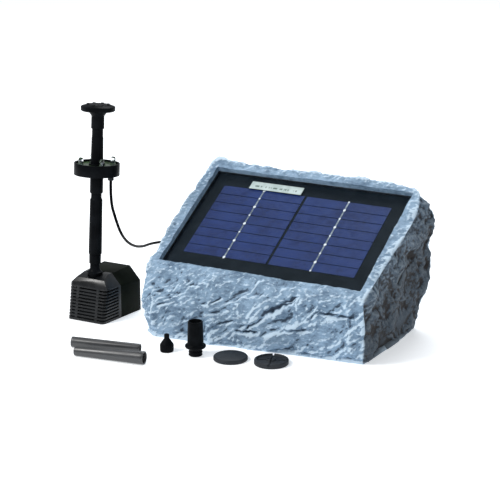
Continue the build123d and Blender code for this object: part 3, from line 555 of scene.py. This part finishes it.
# Each crack: its two ends on the front face in millimetres (x, z), half width and depth.
CRACKS = [
    ((20, 39), (38, 51), 3.4, 6.0), ((36, 52), (56, 65), 2.4, 3.6), ((2, 23), (50, 57), 1.1, 2.6),
    ((-9, 18), (14, 20), 1.5, 3.0), ((75, 61), (75, 70), 1.2, 3.2), ((76, 47), (109, 46), 1.2, 2.6),
    ((99, 63), (108, 69), 1.2, 2.2), ((-95, 34), (-80, 40), 1.2, 2.0), ((-37, 43), (-29, 49), 1.1, 2.2),
    ((-15, 47), (-8, 52), 1.1, 2.0), ((-110, 52), (-72, 39), 2.6, 2.2), ((-64, 55), (-50, 56), 1.2, 1.6),
    ((40, 66), (60, 69), 1.3, 2.0), ((66, 40), (76, 50), 1.2, 2.0), ((28, 24), (70, 30), 1.4, 1.8),
    ((-30, 22), (-6, 30), 1.3, 1.8), ((-70, 20), (-48, 26), 1.3, 1.4),
]
# Each hollow or swelling: its middle, radii and depth in millimetres, outwards if negative.
HOLLOWS = [
    ((127, 72, 88), (16, 20, 11), 6.5), ((126, 30, 60), (14, 12, 22), 5.0),
    ((125, -20, 40), (12, 16, 12), 4.5), ((124, 40, 22), (14, 22, 12), 4.0),
    ((126, 66, 48), (14, 16, 14), -3.5), ((126, -48, 28), (10, 12, 14), 3.5),
    ((127, 5, 95), (10, 14, 10), 3.0), ((-124, 20, 70), (12, 20, 14), 3.0),
    ((-122, -30, 34), (12, 18, 14), -2.0), ((-60, 76, 60), (30, 12, 20), 3.0),
    ((40, -88, 20), (30, 12, 10), -1.5), ((-60, -90, 14), (26, 10, 9), 2.5),
    ((90, -84, 30), (22, 10, 16), -2.0),
]


def averaged(values, edges, times):
    """Values spread over the mesh by repeated averaging with the neighbours."""
    n = len(values)
    a, b = edges[:, 0], edges[:, 1]
    share = np.maximum(np.bincount(a, minlength=n) + np.bincount(b, minlength=n), 1)[:, None]
    for _ in range(times):
        total = np.stack([
            np.bincount(a, values[b, k], n) + np.bincount(b, values[a, k], n) for k in range(3)
        ], axis=1)
        values = 0.5 * values + 0.5 * total / share
    return values


def chips(place, size):
    """A field of flat chips, each tilted its own way."""
    reach, middles = noise.voronoi(place / size)
    middle = middles[0]
    tilt = noise.noise_vector(middle * 3.71 + Vector((9.1, 4.7, 2.3)))
    inner = min(1.0, (reach[1] - reach[0]) * 3.2)
    return (tilt.dot(place / size - middle) * 1.5 + 0.25 * noise.noise(middle * 5.3)) * inner


def clamped(value):
    return max(0.0, min(1.0, value))


def crack_depth(place):
    """How deep the front's cracks cut at a point, in millimetres."""
    x, z = place.x + 1.2 * noise.noise(place / 5), place.z + 1.2 * noise.noise(place / 4)
    deepest = 0.0
    for (ax, az), (bx, bz), width, depth in CRACKS:
        dx, dz = bx - ax, bz - az
        along = clamped(((x - ax) * dx + (z - az) * dz) / (dx * dx + dz * dz))
        off = hypot(x - ax - along * dx, z - az - along * dz) / width
        if off < 2.2:
            thin = 0.35 + 0.65 * sin(pi * (0.12 + 0.76 * along))
            deepest = max(deepest, depth * thin * 2.718 ** (-off * off))
    return deepest


def relief(place, normal):
    """How far the skin stands out at a point, in millimetres."""
    swirl = place + 5.0 * noise.noise_vector(place / 24)
    along = Vector((swirl.x * 0.82 + swirl.z * 0.57, swirl.y, 1.35 * (swirl.z * 0.82 - swirl.x * 0.57)))
    along.x *= 0.65
    height = 8.0 * chips(along, 34) + 5.2 * chips(along, 16) + 1.0 * chips(along, 6.5)
    height += (5.0 + 2.5 * max(0.0, normal.x)) * noise.noise(place / 38 + Vector((3.1, 0.4, 7.7)))
    height += 1.6 * noise.fractal(along / 14, 0.75, 2.1, 6) - 2.8 * abs(normal.x)
    height += 0.4 * (noise.ridged_multi_fractal(along / 8, 0.9, 2.1, 5, 1.0, 2.0) - 1.2)
    below = -(place * MM - RIM_CENTRE).dot(RIM_UP) / MM
    on_rim = clamped(1 - (below - 0.7) / 2.2) * clamped(normal.dot(RIM_UP) * 2 - 0.4)
    edge = max(abs(place.x) - 112, abs((place * MM - RIM_CENTRE).dot(RIM_BACK)) / MM - 69.5, 0.0)
    calm = on_rim * (0.80 - 0.45 * min(1.0, edge / 9))
    height = height * (1 - calm) + on_rim * 0.9 * noise.fractal(place / 9, 0.8, 2.0, 5)
    dent = 0.0
    for middle, radii, depth in HOLLOWS:
        off = sum(((p - m) / r) ** 2 for p, m, r in zip(place, middle, radii))
        if off < 5:
            dent += depth * 2.718 ** (-off)
    if normal.y < -0.45 and on_rim < 0.5:
        dent += crack_depth(place)
    height -= dent * (1 - on_rim)
    near_foot = clamped((34 - place.z) / 14)
    return height + near_foot * 0.9 * max(0.0, -DEEPEST_AT_FOOT - height)


def hull_of(points):
    """The convex hull round some points."""
    bm = bmesh.new()
    for point in points:
        bm.verts.new(point)
    hull = bmesh.ops.convex_hull(bm, input=bm.verts)
    loose = hull["geom_unused"] + hull["geom_interior"]
    spare = {v for v in loose if isinstance(v, bmesh.types.BMVert)}
    bmesh.ops.delete(bm, geom=list(spare), context="VERTS")
    return bm


def skin(voxel):
    """The rock's outer body: the CAD outline, rounded and carved, and its guides for the paint and for the
    painted light and shade.
    """
    bm = hull_of([v.co for v in NODES["rock_shell"].data.vertices])
    rough = bpy.data.meshes.new("rock_outline")
    bm.to_mesh(rough)
    bm.free()
    holder = bpy.data.objects.new("rock_outline", rough)
    bpy.context.collection.objects.link(holder)
    remesh = holder.modifiers.new("even", "REMESH")
    remesh.mode, remesh.voxel_size = "VOXEL", voxel
    bpy.context.view_layer.update()
    mesh = bpy.data.meshes.new_from_object(holder.evaluated_get(bpy.context.evaluated_depsgraph_get()))
    bpy.data.objects.remove(holder)
    n = len(mesh.vertices)
    co = np.empty(n * 3)
    mesh.vertices.foreach_get("co", co)
    edges = np.empty(len(mesh.edges) * 2, int)
    mesh.edges.foreach_get("vertices", edges)
    co, edges = co.reshape(n, 3), edges.reshape(-1, 2)
    fineness = (1.4 * MM / voxel) ** 2
    co = averaged(co, edges, round(7 * fineness))
    mesh.vertices.foreach_set("co", co.ravel())
    mesh.update()
    normals = np.empty(n * 3)
    mesh.vertex_normals.foreach_get("vector", normals)
    normals = averaged(normals.reshape(n, 3), edges, round(3 * fineness))
    normals /= np.linalg.norm(normals, axis=1)[:, None]
    height = np.zeros(n)
    for i in range(n):
        if normals[i, 2] > -0.75:
            height[i] = relief(Vector(co[i]) / MM, Vector(normals[i]))
    co = co + normals * (height * MM)[:, None]
    foot = co[:, 2] < 2.5 * MM
    co[foot, 2] = np.where(normals[foot, 2] < -0.75, 0.0, np.maximum(co[foot, 2], 0.0))
    mesh.vertices.foreach_set("co", co.ravel())
    mesh.update()
    mesh.vertex_normals.foreach_get("vector", flat := np.empty(n * 3))
    flat = flat.reshape(n, 3)
    near = averaged(co, edges, round(5 * fineness))
    far = averaged(co, edges, round(60 * fineness))
    crest = np.einsum("ij,ij->i", co - near, flat) / MM
    # Painted light and shade: facets that lean up and to the left, towards the key lamp, come out lighter in
    # the crest guide, and those that lean away darker.
    painted_light_lean = (flat - averaged(flat, edges, round(60 * fineness))) @ np.array([-0.35, -0.25, 0.90])
    swell = np.einsum("ij,ij->i", co - far, flat) / MM
    below = RIM_CENTRE.z + co[:, 1] * np.tan(PANEL_TILT) - co[:, 2]
    # Painted shade: faces turned to the right get darker, a little less so near the rim.
    shade = np.clip((normals[:, 0] - 0.35) / 0.35, 0, 1) * (0.72 + 0.28 * np.clip(below / 0.045, 0, 1))
    guides = {
        "crest": np.clip(crest * 1.8 + painted_light_lean * 1.1, -1, 1),
        "swell": np.clip(swell * 0.5, -1, 1),
        "shade": shade,
    }
    return mesh, co, guides


def block(name, plane, size, low, high):
    """A cutting box on a plane (origin, across, up, outwards), from low to high along outwards."""
    origin, across, up, out = plane
    bm = bmesh.new()
    bmesh.ops.create_cube(bm, size=1.0)
    for v in bm.verts:
        v.co = origin + across * (v.co.x * size[0]) + up * (v.co.y * size[1]) + out * (
            low + (v.co.z + 0.5) * (high - low))
    bmesh.ops.recalc_face_normals(bm, faces=bm.faces)
    mesh = bpy.data.meshes.new(name)
    bm.to_mesh(mesh)
    bm.free()
    return mesh


def cavity_cutter():
    """The room inside the shell: the outline drawn in, cut off behind and under the panel."""
    drawn_in = []
    for v in NODES["rock_shell"].data.vertices:
        inward = ROOM_SHARE_LOW if v.co.z < 20 * MM else ROOM_SHARE_HIGH
        drawn_in.append((v.co.x * inward, v.co.y * (inward - 0.03), v.co.z - 4 * MM))
    bm = hull_of(drawn_in)
    for place, outwards in (
        (Vector((0, 0.050, 0)), Vector((0, 1, 0))),
        (RIM_CENTRE - RIM_UP * (RECESS_DEPTH + LEDGE), RIM_UP),
    ):
        cut = bmesh.ops.bisect_plane(
            bm, geom=[*bm.verts, *bm.edges, *bm.faces], plane_co=place, plane_no=outwards, clear_outer=True
        )
        rim = [e for e in cut["geom_cut"] if isinstance(e, bmesh.types.BMEdge)]
        bmesh.ops.contextual_create(bm, geom=rim)
    bmesh.ops.recalc_face_normals(bm, faces=bm.faces)
    mesh = bpy.data.meshes.new("rock_room")
    bm.to_mesh(mesh)
    bm.free()
    return mesh


def rock():
    mesh, skin_places, guides = skin(1.2 * MM)
    piece = linked("rock_body", mesh, "kit")
    on_rim = (RIM_CENTRE, Vector((1, 0, 0)), RIM_BACK, RIM_UP)
    upright = (Vector((0, 0.060, 0.037)), Vector((1, 0, 0)), Vector((0, 0, 1)), Vector((0, 1, 0)))
    cutters = [
        block("rock_recess", on_rim, RECESS, -RECESS_DEPTH, 0.03),
        cavity_cutter(),
        block("rock_window", on_rim, WINDOW, -0.016, 0),
        block("rock_pocket", upright, (0.129, 0.063), -3 * MM, 0.04),
        block("rock_box_room", upright, (0.1126, 0.0506), -0.016, 0),
    ]
    for mesh_cut in cutters:
        tool = bpy.data.objects.new(mesh_cut.name, mesh_cut)
        bpy.context.collection.objects.link(tool)
        cut = piece.modifiers.new("cut", "BOOLEAN")
        cut.operation, cut.solver, cut.object = "DIFFERENCE", "MANIFOLD", tool
        bpy.context.view_layer.update()
        carved = bpy.data.meshes.new_from_object(
            piece.evaluated_get(bpy.context.evaluated_depsgraph_get()))
        piece.modifiers.clear()
        piece.data = carved
        bpy.data.objects.remove(tool)
    mesh = piece.data
    tree = kdtree.KDTree(len(skin_places))
    for i, place in enumerate(skin_places):
        tree.insert(place, i)
    tree.balance()
    nearest = np.array([tree.find(v.co)[1] for v in mesh.vertices])
    for name, values in guides.items():
        mesh.attributes.new(name, "FLOAT", "POINT").data.foreach_set("value", values[nearest])
    mesh.materials.clear()
    mesh.materials.append(LOOKS["rock_resin"])
    mesh.materials.append(rock_inside())
    half = (RECESS[0] / 2 + 0.02 * MM, RECESS[1] / 2 + 0.02 * MM)
    for face in mesh.polygons:
        off = face.center - RIM_CENTRE
        depth, side, back = -off.dot(RIM_UP), abs(off.x), abs(off.dot(RIM_BACK))
        x, y, z = face.center
        behind = y > 0.043 and abs(x) < 0.0646 and 0.005 < z < 0.0686 and abs(face.normal.y) < 0.2
        walls = side < half[0] and back < half[1] and 0.6 * MM < depth < 14 * MM
        inner = tree.find(face.center)[2] > 2.5 * MM
        face.material_index = 1 if walls or inner or behind else 0
    smooth(mesh, 48)
    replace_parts(piece, "rock_shell")


# ---------------------------------------------------------------- small pieces
def solder():
    """Solder where the ribbons cross from strip to strip."""
    bm = bmesh.new()
    rows, length, middle, depth = 8, 99.4 * MM, 1.7 * MM, 6.9 * MM
    for column in (-0.0494, 0.0474):
        for k in range(rows + 1):
            up = middle + (k / rows - 0.5) * length
            if k in (0, rows):
                up -= 0.6 * MM * (1 if k else -1)
            place = RIM_CENTRE + Vector((column, 0, 0)) + RIM_BACK * up - RIM_UP * depth
            turn = Matrix.Rotation(PANEL_TILT, 4, "X")
            size = (1.2 + 0.25 * sin(3.1 * k + column * 90)) * MM
            for v in bmesh.ops.create_icosphere(bm, subdivisions=3, radius=1.0)["verts"]:
                wobble = 1 + 0.12 * noise.noise(v.co * 1.7 + Vector((k, column * 50, 0)))
                local = Vector((v.co.x * size * wobble, v.co.y * size * 1.25 * wobble, v.co.z * 0.3 * MM))
                v.co = place + turn @ local
    from_bmesh("solder_dots", bm, "kit", "tinned_ribbon", solder_white())


# The strainer's walls in millimetres: the pump's middle, half its width at the back with the
# taper forwards from there, the wall, the rounding of the front corners and the gauze.
PUMP_X, PUMP_BACK, PUMP_HALF, PUMP_TAPER = -184.5, -28.0, 28.25, 0.106
STRAINER_WALL, STRAINER_CORNER, GAUZE_THICK = 2.4, 3.0, 0.35


def gauze_outline(z, inward):
    """The gauze's line at a height, from its right end round the front to its left end."""
    front = -84.55 + 0.2 * z + inward

    def half(y):
        return PUMP_HALF + (y - PUMP_BACK) * PUMP_TAPER - STRAINER_WALL - inward

    turn = front + STRAINER_CORNER
    side = [(half(y), y) for y in (-58.6, -64.0, -70.0, front + 5.0, turn)]
    arc = [
        (half(turn) - STRAINER_CORNER * (1 - cos(k * pi / 8)), turn - STRAINER_CORNER * sin(k * pi / 8))
        for k in (1, 2, 3, 4)
    ]
    right = side + arc + [(8.0, front)]
    return right + [(-x, y) for x, y in reversed(right)]


def strainer_liner():
    """A sheet of dark gauze just inside the strainer's slotted walls."""
    bm = bmesh.new()
    bottom, height, steps = 2.4, 28.4, 12
    sheets = []
    for inward in (0.0, GAUZE_THICK):
        rows = []
        for step in range(steps + 1):
            z = bottom + height * step / steps
            wave = 0.048 * sin(z * 2.1)
            rows.append([
                bm.verts.new(((PUMP_X + x) * MM, (y + wave) * MM, z * MM))
                for x, y in gauze_outline(z, inward)
            ])
        sheets.append(rows)
        for low, high in zip(rows, rows[1:]):
            for a in range(len(low) - 1):
                bm.faces.new((low[a], low[a + 1], high[a + 1], high[a]))
    outer, inner = sheets
    for a in range(len(outer[0]) - 1):
        bm.faces.new((outer[0][a], outer[0][a + 1], inner[0][a + 1], inner[0][a]))
        bm.faces.new((outer[-1][a], outer[-1][a + 1], inner[-1][a + 1], inner[-1][a]))
    for low, high, low_in, high_in in zip(outer, outer[1:], inner, inner[1:]):
        for end in (0, -1):
            bm.faces.new((low[end], high[end], high_in[end], low_in[end]))
    bmesh.ops.recalc_face_normals(bm, faces=bm.faces)
    from_bmesh("strainer_gauze", bm, "strainer", "black_plastic", LOOKS["seal_rubber"])


# The riser's foot and lean, and on it the ring's board and the circle of its lamps.
RISER_FOOT, RISER_LEAN = Vector((-0.185, -0.067, 0.0455)), radians(4.5)
BOARD_HEIGHT, LED_CIRCLE = 113.6 * MM, 17 * MM


def led_frames():
    """The small metal frame inside each clear LED: a post and a cup on its anvil."""
    up = Vector((0, sin(RISER_LEAN), cos(RISER_LEAN)))
    board = RISER_FOOT + up * BOARD_HEIGHT
    across, back = Vector((1, 0, 0)), up.cross(Vector((1, 0, 0)))

    def towards(angle):
        return across * cos(angle) + back * sin(angle)

    sides = 12
    bm = bmesh.new()
    for angle in (-40, 50, 140, 230):
        outwards = towards(radians(angle))
        for side, top, wide in ((-0.75, 4.6, 0.35), (0.75, 5.2, 0.55)):
            base = board + outwards * (LED_CIRCLE + side * MM)
            profile = ((0.2, 0.25), (top - 1.6, 0.25), (top - 0.9, wide), (top, wide), (top - 0.25, 0.12))
            rings = []
            for level, radius in profile:
                rings.append([
                    bm.verts.new(base + up * (level * MM) + towards(2 * pi * t / sides) * (radius * MM))
                    for t in range(sides)
                ])
            for low, high in zip(rings, rings[1:]):
                for t in range(sides):
                    after = (t + 1) % sides
                    bm.faces.new((low[t], low[after], high[after], high[t]))
            bm.faces.new(reversed(rings[0]))
            bm.faces.new(rings[-1])
    from_bmesh("led_frames", bm, "led_ring", "tinned_ribbon")


# ---------------------------------------------------------------- build
camera()
cord()
rock()
solder()
strainer_liner()
led_frames()
refined("strainer_cover", GLOSSY, 0.5 * MM, 3)
for node in ("pump_housing", "rear_cover"):
    refined(node, GREEN_SHEEN_BLACK, 0.4 * MM, 3)
refined("volute_cover", edge=0.4 * MM, segments=3)
for node in ("riser_collar", "lower_tube", "middle_tube", "spray_neck"):
    refined(node, edge=0.3 * MM)
for node in ("spare_tube_front", "spare_tube_rear"):
    refined(node, SATIN, 0.25 * MM)
for node in ("ring_cup", "spray_disc", "cone_nozzle", "foam_nozzle"):
    refined(node, edge=0.3 * MM)
for node in ("plain_disc", "lobed_disc"):
    refined(node, MATT, 0.35 * MM)
for node in ("rear_panel", "battery_door", "led_socket", "pump_socket", "switch_body", "cable_gland",
             "junction_box", "ring_gland", "rear_gasket", "power_button", "base_plate"):
    refined(node, edge=0.3 * MM)
for node, piece in NODES.items():
    if not piece.hide_render:
        for held in piece.material_slots:
            held.material = LOOKS[SLOT_OF[node]]

floor = bpy.data.meshes.new("floor")
corner = 9.0
floor.from_pydata([(-corner, -corner, 0), (corner, -corner, 0), (corner, corner, 0), (-corner, corner, 0)],
                  [], [(0, 1, 2, 3)])
floor.materials.append(floor_white())
ground = bpy.data.objects.new("floor", floor)
bpy.context.collection.objects.link(ground)
studio()
